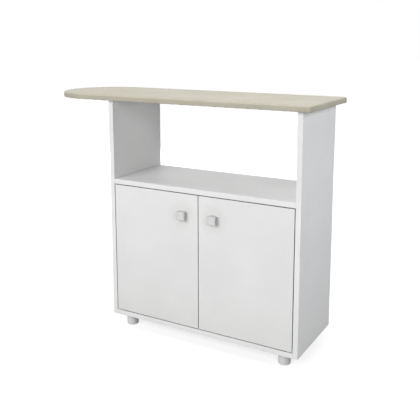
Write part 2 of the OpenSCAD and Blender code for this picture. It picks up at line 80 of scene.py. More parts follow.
def limits(low, high, atLow, atHigh):  # settings that carry low..high to atLow..atHigh
    return {"From Min": low, "From Max": high, "To Min": atLow, "To Max": atHigh}


def grain(tree, place, size, detail, stretch=None):  # noise with features of size mm
    if stretch:
        place = addNode(tree, "ShaderNodeMapping", {"Scale": stretch}, {"Vector": place})
    return addNode(tree, "ShaderNodeTexNoise", {"Scale": perMm(size), "Detail": detail},
                   {"Vector": place})


def mottle(tree, place, pattern, tones):  # the tones that a grain picks
    return addNode(tree, "ShaderNodeValToRGB", None, {"Fac": grain(tree, place, *pattern)}, tones)


def crossedWaves(tree, place, turns, axes):  # two sine waves multiplied, as a mesh or weave lies
    parts = addNode(tree, "ShaderNodeSeparateXYZ", None, {0: place})
    waves = []
    for axis in axes:
        angle = addNode(tree, "ShaderNodeMath", {"operation": "MULTIPLY", 1: turns},
                        {0: parts.outputs[axis]})
        waves.append(addNode(tree, "ShaderNodeMath", {"operation": "SINE"}, {0: angle}))
    return addNode(tree, "ShaderNodeMath", {"operation": "MULTIPLY"}, {0: waves[0], 1: waves[1]})


def shaded(tree, colour, pattern, tones):  # a colour times the tones that a pattern picks
    tone = addNode(tree, "ShaderNodeValToRGB", None, {"Fac": pattern}, tones)
    both = addNode(tree, "ShaderNodeMix", {"data_type": "RGBA", "blend_type": "MULTIPLY", 0: 1.0},
                   {6: colour, 7: tone})
    return both.outputs[2]


# Painted shade for gaps, corners and recesses, darkest deep in narrow gaps
creviceShade = {"reach": 0.005, "samples": 8, "tones": ((0.14, "#585858"), (0.66, "#ffffff"))}


def paintCreviceShade(tree, colour):  # painted shade greys what lies within the reach of another face
    near = addNode(tree, "ShaderNodeAmbientOcclusion",
                   {"samples": creviceShade["samples"], "Distance": creviceShade["reach"]})
    return shaded(tree, colour, near.outputs["AO"], creviceShade["tones"])


def emptyTree(owner):  # the node tree of a material or a world
    owner.use_nodes = True
    owner.node_tree.nodes.clear()
    return owner.node_tree


def startMaterial(name, colour, roughness, metallic=0.0):
    material = bpy.data.materials.new(name)
    tree = emptyTree(material)
    shader = addNode(tree, "ShaderNodeBsdfPrincipled",
                     {"Base Color": hexLinear(colour), "Roughness": roughness,
                      "Metallic": metallic})
    addNode(tree, "ShaderNodeOutputMaterial", None, {"Surface": shader})
    place = addNode(tree, "ShaderNodeTexCoord").outputs["Object"]
    return material, tree, shader, place


def finishSurface(tree, shader, colour, rough, relief):
    # rough is a pattern and its limits, relief a pattern, its depth in mm and its strength
    spread = addNode(tree, "ShaderNodeMapRange", limits(*rough[1:]), {"Value": rough[0]})
    height, depth, strength = relief
    raised = addNode(tree, "ShaderNodeBump", {"Strength": strength, "Distance": depth / 1000},
                     {"Height": height})
    for name, source in (("Base Color", colour), ("Roughness", spread), ("Normal", raised)):
        tree.links.new(firstOutput(source), shader.inputs[name])
    return spread


# Materials. A pattern is given as size in mm, detail and stretch, tones as stops of position and
# colour, rough as the pattern's low and high with the roughness at each, relief as mm and strength

laminateLook = {"start": ("#efefef", 0.42),
                "clouds": (180, 2.0), "tones": ((0.35, "#ebebeb"), (0.65, "#efefef")),
                "specks": (3.0, 1.0), "speckTones": ((0.3, "#fbfbfa"), (0.6, "#ffffff")),
                "lowShadeBlotches": (60, 4.0), "blotchRise": 0.03, "lowShade": (0.05, 0.24),
                "lowShadeTones": ((0.0, "#fafaf8"), (1.0, "#ffffff")),
                "touches": (18, 3.0), "touchReach": 0.03, "polish": (0.02, 0.08, 0.8, 1.0),
                "knobShadeTones": ((0.02, "#f0f0ee"), (0.075, "#ffffff")),
                "smudges": (45, 4.0), "rough": (0.3, 0.7, 0.42, 0.47),
                "pearl": (2.6, 2.0), "relief": (0.06, 0.35)}


def melamineLaminate(name, knob=None):
    # Melamine-faced particle board, pressed against a pearl plate: an even satin white
    # with a faint pebble in the gloss. The real pebble is under 1 mm, drawn coarser to show.
    look = laminateLook
    material, tree, shader, place = startMaterial(name, *look["start"])
    colour = mottle(tree, place, look["clouds"], look["tones"])
    colour = shaded(tree, colour, grain(tree, place, *look["specks"]), look["speckTones"])
    # Painted shade: the lowest 20 cm a little darker, with a blotchy upper edge
    height = addNode(tree, "ShaderNodeSeparateXYZ", None, {0: place}).outputs["Z"]
    blotchedHeight = addNode(tree, "ShaderNodeMath", {"operation": "MULTIPLY_ADD", 1: look["blotchRise"]},
                       {0: grain(tree, place, *look["lowShadeBlotches"]), 2: height})
    lowShade = addNode(tree, "ShaderNodeMapRange", limits(*look["lowShade"], 0.0, 1.0),
                    {"Value": blotchedHeight})
    colour = shaded(tree, colour, lowShade, look["lowShadeTones"])
    if knob:  # fingers polish the door round the knob, and painted shade darkens the colour there
        away = addNode(tree, "ShaderNodeVectorMath", {"operation": "DISTANCE", 1: knob}, {0: place})
        near = addNode(tree, "ShaderNodeMath", {"operation": "MULTIPLY_ADD", 1: look["touchReach"]},
                       {0: grain(tree, place, *look["touches"]), 2: away.outputs["Value"]})
        colour = shaded(tree, colour, near, look["knobShadeTones"])
    smudges, pearl = grain(tree, place, *look["smudges"]), grain(tree, place, *look["pearl"])
    # The colour gets painted shade in gaps and corners
    spread = finishSurface(tree, shader, paintCreviceShade(tree, colour), (smudges, *look["rough"]),
                           (pearl, *look["relief"]))
    if knob:
        polish = addNode(tree, "ShaderNodeMapRange", limits(*look["polish"]), {"Value": near})
        worn = addNode(tree, "ShaderNodeMath", {"operation": "MULTIPLY"}, {0: spread, 1: polish})
        tree.links.new(worn.outputs[0], shader.inputs["Roughness"])
    return material


edgingLook = {"start": ("#f2f2f2", 0.34),
              "clouds": (90, 3.0), "tones": ((0.35, "#f0f0f0"), (0.65, "#f4f4f4")),
              "upperShadeTones": ((0.5, "#ffffff"), (0.6, "#f8f8f8")),
              "haze": (25, 3.0), "rough": (0.3, 0.7, 0.28, 0.4),
              "pebble": (7, 2.0), "relief": (0.05, 0.3)}


def absEdging(name):
    # ABS edging, extruded and ironed on: a touch brighter and smoother than the board,
    # and painted shade makes it a little greyer from about 0.5 m up, beside the open shelf
    look = edgingLook
    material, tree, shader, place = startMaterial(name, *look["start"])
    colour = mottle(tree, place, look["clouds"], look["tones"])
    height = addNode(tree, "ShaderNodeSeparateXYZ", None, {0: place}).outputs["Z"]
    # Painted shade: a little darker from about 0.5 m up
    colour = shaded(tree, colour, height, look["upperShadeTones"])
    haze, pebble = grain(tree, place, *look["haze"]), grain(tree, place, *look["pebble"])
    # The colour gets painted shade in gaps and corners
    finishSurface(tree, shader, paintCreviceShade(tree, colour), (haze, *look["rough"]),
                  (pebble, *look["relief"]))
    return material


hardboardLook = {"start": ("#e2e1dd", 0.6), "screen": 3,
                 "fibres": (6, 5.0), "tones": ((0.25, "#e0dfdb"), (0.75, "#e7e6e3")),
                 "blots": (130, 3.0), "blotTones": ((0.35, "#f9f9f7"), (0.65, "#ffffff")),
                 "rough": (0.3, 0.7, 0.52, 0.7), "relief": (0.12, 0.4)}


def paintedHardboard(name):
    # Hardboard, painted white on a face that keeps the wire screen's imprint.
    # The real screen is 1 mm, drawn at 3 mm to show.
    look = hardboardLook
    material, tree, shader, place = startMaterial(name, *look["start"])
    screen = crossedWaves(tree, place, 2 * math.pi / (look["screen"] / 1000), "XZ")
    fibres = grain(tree, place, *look["fibres"])
    colour = addNode(tree, "ShaderNodeValToRGB", None, {"Fac": fibres}, look["tones"])
    colour = shaded(tree, colour, grain(tree, place, *look["blots"]), look["blotTones"])
    finishSurface(tree, shader, colour, (fibres, *look["rough"]), (screen, *look["relief"]))
    return material


steelLook = {"cloud": (6, 3.0), "cloudTones": ((0.3, "#e4e4e6"), (0.7, "#ffffff")),
             "lines": (1.6, 2.0, (1.0, 1.0, 12.0)), "lineTone": "#d4d5d8", "spread": (0.3, 0.7),
             "smoother": 0.06, "rougher": 0.1, "strength": 0.4}


def platedSteel(name, colour, roughness, lineDepth=0.03):
    # Zinc-plated steel, barrel plated: a cool grey with cloudy gloss and fine drawing lines
    look = steelLook
    material, tree, shader, place = startMaterial(name, colour, roughness, 1.0)
    cloud, lines = grain(tree, place, *look["cloud"]), grain(tree, place, *look["lines"])
    low, high = look["spread"]
    drawn = addNode(tree, "ShaderNodeValToRGB", None, {"Fac": lines},
                    ((low, colour), (high, look["lineTone"])))
    rough = (cloud, low, high, roughness - look["smoother"], roughness + look["rougher"])
    finishSurface(tree, shader, shaded(tree, drawn, cloud, look["cloudTones"]), rough,
                  (lines, lineDepth, look["strength"]))
    return material


knobLook = {"start": ("#dddddd", 0.38, 0.4),
            "lines": (2.2, 3.0, (1.0, 1.0, 9.0)), "tones": ((0.3, "#d6d6d7"), (0.7, "#e2e2e3")),
            "wear": (11, 3.0), "wearTones": ((0.35, "#f1f1f0"), (0.7, "#ffffff")),
            "sideShadeTones": ((0.08, "#fafafa"), (0.3, "#e8e8e8")),
            "rough": (0.3, 0.7, 0.34, 0.48), "relief": (0.04, 0.5)}


def satinNickel(name):
    # Cast zinc knob, brushed, plated satin nickel and lacquered matt: short level lines on the
    # face, and the lacquer scatters light as paint does, so the sides hardly mirror the door
    look = knobLook
    material, tree, shader, place = startMaterial(name, *look["start"])
    lines = grain(tree, place, *look["lines"])
    colour = addNode(tree, "ShaderNodeValToRGB", None, {"Fac": lines}, look["tones"])
    colour = shaded(tree, colour, grain(tree, place, *look["wear"]), look["wearTones"])
    # Painted shade: the tapered sides, turned away from the front, are darkened; the face stays
    # bright
    facing = addNode(tree, "ShaderNodeTexCoord").outputs["Normal"]
    forward = addNode(tree, "ShaderNodeSeparateXYZ", None, {0: facing}).outputs["Y"]
    awayFromFront = addNode(tree, "ShaderNodeMapRange", limits(-1.0, 0.0, 0.0, 1.0), {"Value": forward})
    colour = shaded(tree, colour, awayFromFront, look["sideShadeTones"])
    finishSurface(tree, shader, colour, (lines, *look["rough"]), (lines, *look["relief"]))
    return material


plasticLook = {"clouds": (22, 4.0), "scuffs": (5, 5.0, (1.0, 1.0, 0.3)),
               "scuffTones": ((0.3, "#f2f2f1"), (0.45, "#ffffff")),
               "pits": (1.2, 2.0), "spread": (0.3, 0.7), "smoother": 0.06, "rougher": 0.08,
               "relief": (0.08, 0.4)}


def mouldedPlastic(name, dark, light, roughness):
    # Injection-moulded ABS or nylon from a spark-eroded mould: dull, finely pitted.
    # Pits of 0.3 mm, drawn at 1.2 mm to show.
    look = plasticLook
    material, tree, shader, place = startMaterial(name, light, roughness)
    low, high = look["spread"]
    colour = mottle(tree, place, look["clouds"], ((low, dark), (high, light)))
    colour = shaded(tree, colour, grain(tree, place, *look["scuffs"]), look["scuffTones"])
    pits = grain(tree, place, *look["pits"])
    rough = (pits, low, high, roughness - look["smoother"], roughness + look["rougher"])
    finishSurface(tree, shader, colour, rough, (pits, *look["relief"]))
    return material


coreLook = {"start": ("#b99a6c", 0.85), "chip": 4.5, "chipStretch": (0.55, 1.0, 1.0),
            "chipTones": ((0.05, "#a5824f"), (0.9, "#cfb284")),
            "bark": (2.4, 3.0), "barkTones": ((0.28, "#7d6244"), (0.36, "#ffffff")),
            "foil": (70, 4.0), "foilTones": ((0.3, "#e4e4e3"), (0.7, "#ececeb")),
            "level": 0.5, "rough": (0.0, 1.0, 0.86, 0.5), "relief": (0.08, 0.3)}


def chipCore(name):
    # Particle board under the padding: white backing foil on its faces, and on its sawn edges
    # bare straw-coloured chips, 2 to 6 mm, with dark bark specks
    look = coreLook
    material, tree, shader, place = startMaterial(name, *look["start"])
    wide = addNode(tree, "ShaderNodeMapping", {"Scale": look["chipStretch"]}, {"Vector": place})
    chips = addNode(tree, "ShaderNodeTexVoronoi", {"Scale": perMm(look["chip"]), "Randomness": 1.0},
                    {"Vector": wide})
    tone = addNode(tree, "ShaderNodeSeparateColor", None, {0: chips.outputs["Color"]})
    bare = addNode(tree, "ShaderNodeValToRGB", None, {"Fac": tone}, look["chipTones"])
    bare = shaded(tree, bare, grain(tree, place, *look["bark"]), look["barkTones"])
    foil = mottle(tree, place, look["foil"], look["foilTones"])
    facing = addNode(tree, "ShaderNodeTexCoord").outputs["Normal"]
    upward = addNode(tree, "ShaderNodeSeparateXYZ", None, {0: facing}).outputs["Z"]
    upright = addNode(tree, "ShaderNodeMath", {"operation": "ABSOLUTE"}, {0: upward})
    isFace = addNode(tree, "ShaderNodeMath", {"operation": "GREATER_THAN", 1: look["level"]},
                     {0: upright})
    both = addNode(tree, "ShaderNodeMix", {"data_type": "RGBA"}, {0: isFace, 6: bare, 7: foil})
    finishSurface(tree, shader, both.outputs[2], (isFace, *look["rough"]),
                  (chips.outputs["Distance"], *look["relief"]))
    return material


foamLook = {"start": ("#efe8cf", 0.95), "cell": 1.4,
            "tones": ((0.1, "#d8cfb0"), (0.7, "#f3edd8")),
            "rough": (0.0, 0.8, 0.98, 0.88), "relief": (0.3, 0.6)}


def foamSheet(name):
    # Polyurethane foam, cut from the block: dull cream, open cells of about 1 mm
    look = foamLook
    material, tree, shader, place = startMaterial(name, *look["start"])
    cells = addNode(tree, "ShaderNodeTexVoronoi", {"Scale": perMm(look["cell"])}, {"Vector": place})
    wall = cells.outputs["Distance"]
    colour = addNode(tree, "ShaderNodeValToRGB", None, {"Fac": wall}, look["tones"])
    finishSurface(tree, shader, colour, (wall, *look["rough"]), (wall, *look["relief"]))
    return material


fabricLook = {"start": ("#c0bcaf", 0.88), "thread": 1.5,
              "warp": (5, 3.0, (0.06, 1.0, 1.0)), "weft": (5, 3.0, (1.0, 0.08, 1.0)),
              "tones": ((0.12, "#b5b1a4"), (0.38, "#c0bcaf")),
              "rimLightTones": ((0.12, "#bcb8a9"), (0.38, "#c7c3b5")), "rimHeights": (0.8768, 0.8735),
              "threadTones": ((-0.6, "#f2f1ee"), (0.9, "#ffffff")),
              "faded": (170, 3.0), "fadedTones": ((0.35, "#f6f5f2"), (0.65, "#ffffff")),
              "sheen": 0.12, "sheenRoughness": 0.45, "slubRelief": 1.6, "threadRelief": 0.25,
              "rough": (0.1, 0.4, 0.82, 0.94), "relief": (0.25, 0.45)}


def coverCotton(name):
    # Plain-woven cotton with a silicone finish, dyed khaki: matt, with a soft sheen at the rim
    # and uneven threads. Threads are 0.5 mm apart on the real one, drawn at 1.5 mm to show.
    look = fabricLook
    material, tree, shader, place = startMaterial(name, *look["start"])
    cloth = addNode(tree, "ShaderNodeUVMap", {"uv_map": "cloth"})  # metres on the cut cloth
    weave = crossedWaves(tree, cloth, math.pi / (look["thread"] / 1000), "XY")
    warp, weft = grain(tree, cloth, *look["warp"]), grain(tree, cloth, *look["weft"])
    slubs = addNode(tree, "ShaderNodeMath", {"operation": "MULTIPLY"}, {0: warp, 1: weft})
    faceColour = addNode(tree, "ShaderNodeValToRGB", None, {"Fac": slubs}, look["tones"])
    # Painted light: below the face, round the rim, the cloth is made paler and greyer
    rimLit = addNode(tree, "ShaderNodeValToRGB", None, {"Fac": slubs}, look["rimLightTones"])
    height = addNode(tree, "ShaderNodeSeparateXYZ", None, {0: place}).outputs["Z"]
    # stretch is the share of painted light, from the face down round the rim
    stretch = addNode(tree, "ShaderNodeMapRange", limits(*look["rimHeights"], 0.0, 1.0),
                      {"Value": height})
    colour = addNode(tree, "ShaderNodeMix", {"data_type": "RGBA"},
                     {0: stretch, 6: faceColour, 7: rimLit}).outputs[2]
    colour = shaded(tree, colour, weave, look["threadTones"])
    colour = shaded(tree, colour, grain(tree, cloth, *look["faded"]), look["fadedTones"])
    shader.inputs["Sheen Weight"].default_value = look["sheen"]
    shader.inputs["Sheen Roughness"].default_value = look["sheenRoughness"]
    threads = addNode(tree, "ShaderNodeMath", {"operation": "MULTIPLY", 1: look["threadRelief"]},
                      {0: weave})
    height = addNode(tree, "ShaderNodeMath", {"operation": "MULTIPLY_ADD", 1: look["slubRelief"]},
                     {0: slubs, 2: threads})
    finishSurface(tree, shader, colour, (slubs, *look["rough"]), (height, *look["relief"]))
    return material


# Fluted beech dowel, raw: pinkish straw with short dark pores along the grain
beechLook = {"start": ("#cfa97c", 0.65), "grain": (1.4, 4.0, (0.12, 1.0, 1.0)),
             "tones": ((0.35, "#b98f62"), (0.6, "#d9b68b")),
             "rough": (0.3, 0.7, 0.6, 0.75), "relief": (0.1, 0.5)}
# Ferrite magnet block, sintered and ground flat: charcoal, faintly grainy
ferriteLook = {"start": ("#35353a", 0.5), "grain": (1.3, 4.0),
               "tones": ((0.3, "#2c2c30"), (0.7, "#424247")),
               "rough": (0.3, 0.7, 0.42, 0.6), "relief": (0.05, 0.4)}


def grainedBlock(name, look):  # one grain gives colour, roughness and relief
    material, tree, shader, place = startMaterial(name, *look["start"])
    pores = grain(tree, place, *look["grain"])
    colour = addNode(tree, "ShaderNodeValToRGB", None, {"Fac": pores}, look["tones"])
    finishSurface(tree, shader, colour, (pores, *look["rough"]), (pores, *look["relief"]))
    return material


knobPlace = {"left": (0.071, -0.1625, 0.471), "right": (0.194, -0.1625, 0.471)}
finish = {
    "white_laminate": melamineLaminate("melamineLaminate"),
    "edge_band": absEdging("absEdging"),
    "back_board": paintedHardboard("paintedHardboard"),
    "bright_steel": platedSteel("zincPlatedSteel", "#bfc0c4", 0.32),
    "beech": grainedBlock("beechDowel", beechLook),
    "cam_zinc": platedSteel("dieCastZinc", "#a9aaad", 0.45, 0.015),
    "foot_plastic": mouldedPlastic("greyAbsFoot", "#dfdfdf", "#e7e7e7", 0.4),
    "core_board": chipCore("particleBoardCore"),
    "foam": foamSheet("foamSheet"),
    "beige_cover": coverCotton("coverCotton"),
    "hinge_steel": platedSteel("hingeSteel", "#b4b5b9", 0.38),
    "white_nylon": mouldedPlastic("whiteNylon", "#e6e6e2", "#efefec", 0.42),
    "magnet_dark": grainedBlock("ferriteMagnet", ferriteLook),
    "knob_metal": satinNickel("satinNickel"),
}
doorFinish = {side: melamineLaminate(side + "DoorLaminate", knobPlace[side]) for side in knobPlace}
for part in frame["record"]["subparts"]:
    node = frame["nodes"][part["node"]]
    side = part["node"].split("_")[0]
    isDoor = part["node"].endswith("_door_panel")
    node.data.materials.clear()
    node.data.materials.append(doorFinish[side] if isDoor else finish[part["material_slot"]])
print("materials made:", len(finish) + len(doorFinish))

# Pieces from meshes and forms

tiny = 1e-6  # metres, for points that count as one


def addPiece(name, data):
    piece = bpy.data.objects.new(name, data)
    bpy.context.scene.collection.objects.link(piece)
    return piece


def formPiece(name, form):
    mesh = bpy.data.meshes.new(name)
    form.to_mesh(mesh)
    form.free()
    return addPiece(name, mesh)


def faceOutwards(form):
    bmesh.ops.recalc_face_normals(form, faces=form.faces[:])


def plain(piece):  # modifiers made part of the mesh
    depsgraph = bpy.context.evaluated_depsgraph_get()
    made = bpy.data.meshes.new_from_object(piece.evaluated_get(depsgraph),
                                           preserve_all_data_layers=True, depsgraph=depsgraph)
    piece.modifiers.clear()
    piece.data = made
    made.name = piece.name
    return piece


# Padded ironing top, in metres

ironingTop = {"left": -0.5375, "right": 0.5375, "halfDepth": 0.1805, "corner": 0.015,
              "leastCorner": 0.0006, "cornerSteps": 6, "pointGap": 0.0085, "under": 0.858,
              "coreTop": 0.870, "face": 0.878, "round": 0.006, "roundSteps": 5,
              "lowerRound": 0.0025, "lowerSteps": 3}
noseX = ironingTop["left"] + ironingTop["halfDepth"]  # the middle of the rounded end


def arcPoints(x, y, radius, start, steps):  # a quarter turn, its last point left out
    angles = [start + math.pi / 2 * i / steps for i in range(steps)]
    return [(x + radius * math.cos(angle), y + radius * math.sin(angle)) for angle in angles]


def topOutline(inset):  # the top's edge stepped in, counterclockwise from the tip of the nose
    top = ironingTop
    half = top["halfDepth"] - inset
    corner = max(top["corner"] - inset, top["leastCorner"])
    cornerX = top["right"] - inset - corner
    cornerY = half - corner
    noseSteps = round(math.pi / 2 * top["halfDepth"] / top["pointGap"])
    runSteps = round((top["right"] - top["corner"] - noseX) / top["pointGap"])
    endSteps = round((top["halfDepth"] - top["corner"]) / top["pointGap"])
    points = arcPoints(noseX, 0.0, half, math.pi, noseSteps)
    points += [(noseX + (cornerX - noseX) * i / runSteps, -half) for i in range(runSteps)]
    points += arcPoints(cornerX, -cornerY, corner, -math.pi / 2, top["cornerSteps"])
    points += [(cornerX + corner, -cornerY + cornerY * i / endSteps) for i in range(endSteps)]
    middle = [(cornerX + corner, 0.0)]
    return points + middle + [(x, -y) for x, y in reversed(points[1:])]


def loftRings(name, rings, closeFirst):  # rings: (inset, height); the last one is closed
    form = bmesh.new()
    loops = [[form.verts.new((x, y, height)) for x, y in topOutline(inset)]
             for inset, height in rings]
    for lower, upper in zip(loops, loops[1:]):
        for i in range(len(lower)):
            j = (i + 1) % len(lower)
            form.faces.new((lower[i], lower[j], upper[j], upper[i]))
    for loop in [loops[0], loops[-1]] if closeFirst else [loops[-1]]:
        for i in range(len(loop) // 2):  # strips across, from the ring's front half to its back
            a, b, c, d = loop[i], loop[i + 1], loop[-i - 2], loop[-i - 1]
            if b is not d and a is not c:
                form.faces.new([a, b, c, d] if b is not c else [a, b, d])
    faceOutwards(form)
    return formPiece(name, form)


def upperRound(inset, height, radius, steps):  # rings from the side up onto the face
    angles = [math.pi / 2 * i / steps for i in range(steps + 1)]
    return [(inset + radius * (1 - math.cos(a)), height - radius * (1 - math.sin(a)))
            for a in angles]


def lowerRound(inset, height, radius, steps):  # rings from the underside up into the side
    angles = [math.pi / 2 * i / steps for i in range(steps + 1)]
    return [(inset + radius * (1 - math.sin(a)), height + radius * (1 - math.cos(a)))
            for a in angles]


# The padded top swells under slight pressure, from a form whose face is a little too low
padCloth = {"lower": 0.0012, "voxel": 0.006, "stapled": 0.004, "mass": 0.3, "stretch": 40,
            "bend": 2, "quality": 4, "pressure": 0.12, "frames": 20}


def settledPad():  # the points of the low form, and where they settle
    top, soft = ironingTop, padCloth
    rings = lowerRound(0.0, top["under"], top["lowerRound"], top["lowerSteps"])
    rings += upperRound(0.0, top["face"] - soft["lower"], top["round"], top["roundSteps"])
    trial = loftRings("padTrial", rings, True)
    remesh = trial.modifiers.new("even", "REMESH")
    remesh.mode = "VOXEL"
    remesh.voxel_size = soft["voxel"]
    rest = [vertex.co.copy() for vertex in plain(trial).data.vertices]
    held = trial.vertex_groups.new(name="held")  # the underside is stapled to the core
    held.add([index for index, point in enumerate(rest)
              if point.z < top["under"] + soft["stapled"]], 1.0, "REPLACE")
    cloth = trial.modifiers.new("settle", "CLOTH")
    cloth.settings.vertex_group_mass = "held"
    cloth.settings.quality = soft["quality"]
    cloth.settings.mass = soft["mass"]
    cloth.settings.tension_stiffness = cloth.settings.compression_stiffness = soft["stretch"]
    cloth.settings.bending_stiffness = soft["bend"]
    cloth.settings.use_pressure = True
    cloth.settings.uniform_pressure_force = soft["pressure"]
    cloth.settings.effector_weights.gravity = 0
    cloth.point_cache.frame_start = 1
    cloth.point_cache.frame_end = soft["frames"]
    for number in range(1, soft["frames"] + 1):
        bpy.context.scene.frame_set(number)
    settled = [vertex.co.copy() for vertex in plain(trial).data.vertices]
    bpy.data.objects.remove(trial)
    bpy.context.scene.frame_set(1)
    return rest, settled


padRest, padSettled = settledPad()
restTree = kdtree.KDTree(len(padRest))
for index, point in enumerate(padRest):
    restTree.insert(point, index)
restTree.balance()
largest = max((after - before).length for before, after in zip(padRest, padSettled))
print("pad settled:", len(padRest), "points, most movement %.1f mm before its cap"
      % (largest * 1000))

padFollow = {"points": 8, "near": 0.002, "cap": 0.0022, "sideShare": 0.1, "rim": 0.03}
faceWaves = {"height": 0.00035, "long": (11, 3.1), "short": (27, 7.7), "shortShare": 0.5,
             "middle": 0.2}  # long and short: waves per metre and seed
hemGathers = {"depth": 0.0005, "pitch": 0.013, "reach": 0.03, "inside": 0.02, "fade": 1.6,
              "hemRise": 0.05, "evenShare": 0.75, "unevenShare": 0.5, "perMetre": 60, "seed": 1.7}


def clamped(value):
    return max(0.0, min(1.0, value))


def padMove(point):  # the padding's own movement near a point, never above the cap
    total, weight = Vector((0, 0, 0)), 0.0
    for _, index, distance in restTree.find_n(point, padFollow["points"]):
        share = 1 / (distance + padFollow["near"])
        move = padSettled[index] - padRest[index]
        if move.length > padFollow["cap"]:
            move = move * (padFollow["cap"] / move.length)
        total += move * share
        weight += share
    return total / weight


def rimFacts(x, y):  # distance inside the top's outline, the way out, and the place along the rim
    top = ironingTop
    if x < noseX:
        away = Vector((x - noseX, y))
        reach = away.length
        out = away / reach if reach > tiny else Vector((-1, 0))
        return top["halfDepth"] - reach, out, math.atan2(y, -(x - noseX)) * top["halfDepth"]
    sideGap, endGap = top["halfDepth"] - abs(y), top["right"] - x
    corner = top["corner"]
    if sideGap < corner and endGap < corner:
        away = Vector((x - (top["right"] - corner), abs(y) - (top["halfDepth"] - corner)))
        out = away.normalized() if away.length > tiny else Vector((1, 0))
        return corner - away.length, Vector((out.x, math.copysign(out.y, y))), x + y
    if sideGap < endGap:
        return sideGap, Vector((0, math.copysign(1, y))), x
    return endGap, Vector((1, 0)), y


def faceWave(point):  # soft unevenness of the padded face
    long, short = [noise.noise(Vector((point.x * perMetre, point.y * perMetre, seed)))
                   for perMetre, seed in (faceWaves["long"], faceWaves["short"])]
    wave = long + faceWaves["shortShare"] * short
    return (wave - faceWaves["middle"]) * faceWaves["height"]


def gathered(point, rise, inside, along):  # how far a gather goes inwards, and down
    top, fold = ironingTop, hemGathers
    atCorner = (abs(point.y) > top["halfDepth"] - fold["reach"]
                and point.x > top["right"] - fold["reach"])
    if point.x >= noseX and not atCorner:  # gathers lie round the nose and the corners only
        return 0.0, 0.0
    ripple = math.sin(2 * math.pi * along / fold["pitch"])
    ripple *= fold["evenShare"] + fold["unevenShare"] * noise.noise(
        Vector((along * fold["perMetre"], fold["seed"], 0)))
    share = 0.5 + 0.5 * ripple
    if rise <= fold["hemRise"]:
        return 0.0, fold["depth"] * share
    depth = max(0.0, 1 - rise * fold["fade"]) if inside < fold["inside"] else 0.0
    return fold["depth"] * depth * share, 0.0


def dress(piece, isCover):  # settles a structured form and gives it its unevenness
    top, side = ironingTop, padFollow["sideShare"]
    for vertex in piece.data.vertices:
        point = vertex.co.copy()
        inside, out, along = rimFacts(point.x, point.y)
        rise = (point.z - top["under"]) / (top["face"] - top["under"])
        lift = clamped((rise - side) / (1 - side))
        face = clamped(inside / padFollow["rim"]) * lift
        # Down to the low form that the simulation started from, then along with its movement
        shift = padMove(point) + Vector((0, 0, faceWave(point) * face - padCloth["lower"] * lift))
        if isCover:
            inward, down = gathered(point, rise, inside, along)
            shift -= Vector((out.x, out.y, 0)) * inward
            shift.z -= down
        vertex.co = point + shift
    piece.data.update()


def clothMap(piece):  # metres on the flat cloth: the rim and hem fold out past the face
    top = ironingTop
    middle = (top["face"] + top["under"]) / 2
    layer = piece.data.uv_layers.new(name="cloth")
    places = []
    for vertex in piece.data.vertices:
        x, y, z = vertex.co
        inside, out, _ = rimFacts(x, y)
        way = top["face"] - z - inside if z > middle else top["face"] - z + inside
        places.append(Vector((x, y)) + out * (inside + way))
    for loop in piece.data.loops:
        layer.data[loop.index].uv = places[loop.vertex_index]


coverForm = {"cloth": 0.0008, "hemInsets": (0.012, 0.0095, 0.0065, 0.004),
             "sideHeights": (0.864, 0.8685),
             "faceInsets": (0.009, 0.014, 0.021, 0.03, 0.042, 0.056, 0.072, 0.09, 0.108, 0.126,
                            0.144, 0.16, 0.172)}
padForm = {"clear": 0.0004, "aboveCore": 0.0002, "flat": 0.0012, "sideHeight": 0.8715,
           "roundSteps": 4, "faceInsets": (0.012, 0.022, 0.04, 0.07, 0.11, 0.15, 0.172)}


def coverPiece():
    top, form = ironingTop, coverForm
    low = top["under"] - form["cloth"]
    rings = [(inset, low) for inset in form["hemInsets"]]
    rings += lowerRound(0.0, low, top["lowerRound"], top["lowerSteps"])
    rings += [(0.0, height) for height in form["sideHeights"]]
    rings += upperRound(0.0, top["face"], top["round"], top["roundSteps"])
    rings += [(inset, top["face"]) for inset in form["faceInsets"]]
    piece = loftRings("ironingCover", rings, False)
    clothMap(piece)
    dress(piece, True)
    piece.data.materials.append(finish["beige_cover"])
    thick = piece.modifiers.new("cloth", "SOLIDIFY")
    thick.thickness = form["cloth"]
    thick.offset = -1.0
    soft = piece.modifiers.new("soft", "SUBSURF")
    soft.levels = soft.render_levels = 1
    plain(piece).data.shade_smooth()
    return piece


def padPiece():
    top, form = ironingTop, padForm
    inset = coverForm["cloth"] + form["clear"]
    bottom = top["coreTop"] + form["aboveCore"]
    rings = [(inset, bottom), (inset, form["sideHeight"])]
    rings += upperRound(inset, top["face"] - inset, top["round"] - inset, form["roundSteps"])
    rings += [(step, top["face"] - inset) for step in form["faceInsets"]]
    piece = loftRings("foamPad", rings, True)
    dress(piece, False)
    for vertex in piece.data.vertices:  # the underside stays flat on the core
        if vertex.co.z < top["coreTop"] + form["flat"]:
            vertex.co.z = max(vertex.co.z, bottom)
    piece.data.materials.append(finish["foam"])
    piece.data.shade_smooth()
    return piece


foamPad = padPiece()
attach(foamPad, "cabinet")
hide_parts("top_pad")
ironingCover = coverPiece()
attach(ironingCover, "cabinet")
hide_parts("top_cover")
print("ironing top padded and covered:", len(ironingCover.data.polygons), "faces")

# Geometry trees, with named inputs, grown into plain pieces


def openTree(name, inputs):
    tree = bpy.data.node_groups.new(name, "GeometryNodeTree")
    tree.interface.new_socket(name="Geometry", in_out="INPUT", socket_type="NodeSocketGeometry")
    sockets = {label: tree.interface.new_socket(name=label, in_out="INPUT", socket_type=kind)
               for label, kind in inputs.items()}
    tree.interface.new_socket(name="Geometry", in_out="OUTPUT", socket_type="NodeSocketGeometry")
    return tree, addNode(tree, "NodeGroupInput"), sockets


